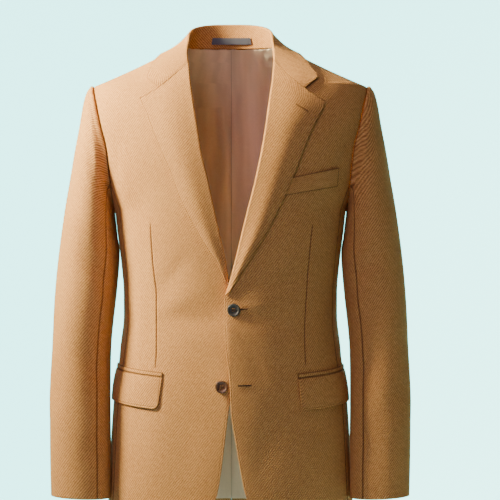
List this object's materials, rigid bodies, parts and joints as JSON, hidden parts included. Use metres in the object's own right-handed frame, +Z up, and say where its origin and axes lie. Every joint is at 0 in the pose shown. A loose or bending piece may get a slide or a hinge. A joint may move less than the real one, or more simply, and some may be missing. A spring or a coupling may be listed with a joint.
{
  "type": "tailored jacket",
  "caption": "Hip-length tailored wool jacket, filled out as worn, with notch lapels, a buttoned front, a chest welt and flap pockets; open at neck, cuffs and hem.",
  "frame": {"origin": "on the centre plane, level with the back neck seam, on the line through the shoulder seams, where the wearer's shoulders and neck hold the jacket", "axes": "+X to the wearer's left, -Y to the front, +Z up from hem to collar"},
  "size_m": [0.5716, 0.282, 0.795],
  "materials": {
    "wool_camel": "brushed wool twill, matt",
    "lining_satin": "smooth satin lining, soft sheen",
    "button_dark": "polished dark horn look",
    "button_brown": "polished brown horn look",
    "loop_ribbon": "plain dark satin ribbon"
  },
  "bodies": {
    "root": {"front_left": "wool_camel", "lapel_left": "wool_camel", "side_left": "wool_camel", "back_left": "wool_camel", "sleeve_upper_left": "wool_camel", "sleeve_under_left": "wool_camel", "flap_left": "wool_camel", "jet_left": "wool_camel", "lining_back_left": "lining_satin", "front_right": "wool_camel", "lapel_right": "wool_camel", "side_right": "wool_camel", "back_right": "wool_camel", "sleeve_upper_right": "wool_camel", "sleeve_under_right": "wool_camel", "flap_right": "wool_camel", "jet_right": "wool_camel", "lining_back_right": "lining_satin", "collar": "wool_camel", "chest_welt": "wool_camel", "hanger_loop": "loop_ribbon", "button_top": "button_dark", "button_bottom": "button_brown"}
  },
  "joints": []
}
